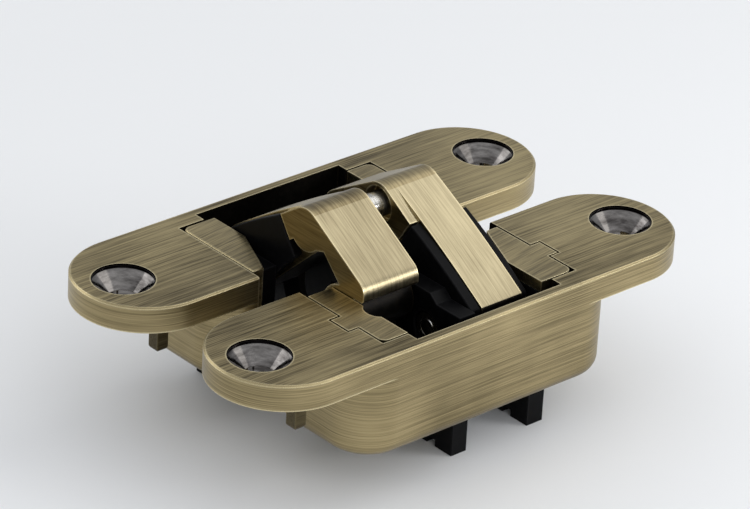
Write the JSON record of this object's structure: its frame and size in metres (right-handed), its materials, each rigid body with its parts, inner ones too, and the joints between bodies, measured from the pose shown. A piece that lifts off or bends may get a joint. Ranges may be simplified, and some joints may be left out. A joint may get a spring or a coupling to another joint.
{
  "type": "concealed hinge",
  "caption": "Concealed door hinge, opened flat: two long round-ended plates joined by crossing arms that fold into pockets in both halves.",
  "frame": {"origin": "middle of the rear face plate, between its two screw holes, 4.8 mm below its visible face, in the narrow part of the bores", "axes": "+X along the plates, +Y away from the other half, +Z out of the plate's visible face"},
  "size_m": [0.1122, 0.0666, 0.0452],
  "materials": {
    "bronze_casting": "antique bronze plating, lightly brushed",
    "bronze_brushed": "antique bronze plating, brushed along the length",
    "black": "black, satin",
    "steel": "bright turned steel"
  },
  "bodies": {
    "rear": {"rear_case": "bronze_casting", "rear_block_left": "bronze_brushed", "rear_block_right": "bronze_brushed", "rear_end_guide": "black", "rear_middle_guide": "black", "rear_slot_screw": "steel", "rear_pivot_screw": "steel", "rear_pivot_spacer": "steel", "rear_pivot_pin": "steel"},
    "right_arm": {"right_arm": "bronze_brushed", "centre_pin": "steel", "right_arm_cheek_left": "black", "right_arm_cheek_right": "black", "front_slide_pin": "steel", "front_roller_left": "steel", "front_roller_right": "steel"},
    "left_arm": {"left_arm": "bronze_brushed", "left_arm_cheek_left": "black", "left_arm_cheek_right": "black", "rear_slide_pin": "steel", "rear_roller_left": "steel", "rear_roller_right": "steel"},
    "front": {"front_case": "bronze_casting", "front_block_left": "bronze_brushed", "front_block_right": "bronze_brushed", "front_end_guide": "black", "front_middle_guide": "black", "front_slot_screw": "steel", "front_pivot_screw": "steel", "front_pivot_pin": "steel"}
  },
  "joints": [
    {"name": "rear_pivot", "type": "hinge", "parent": "rear", "child": "right_arm", "pos_m": [0, -0.00799, 0.0008], "axis": [-1, 0, 0], "range_deg": [0, 104.22]},
    {"name": "centre_pivot", "type": "hinge", "parent": "right_arm", "child": "left_arm", "pos_m": [0, -0.0168, 0.0132], "axis": [-1, 0, 0], "range_deg": [-37.13, 0]},
    {"name": "front_pivot", "type": "hinge", "parent": "left_arm", "child": "front", "pos_m": [0, -0.02801, 0.0008], "axis": [-1, 0, 0], "range_deg": [0, 112.91]}
  ],
  "couplings": [
    {"joint": "centre_pivot", "follows": "rear_pivot", "ratio": -0.35628},
    {"joint": "front_pivot", "follows": "rear_pivot", "ratio": 1.0835}
  ]
}
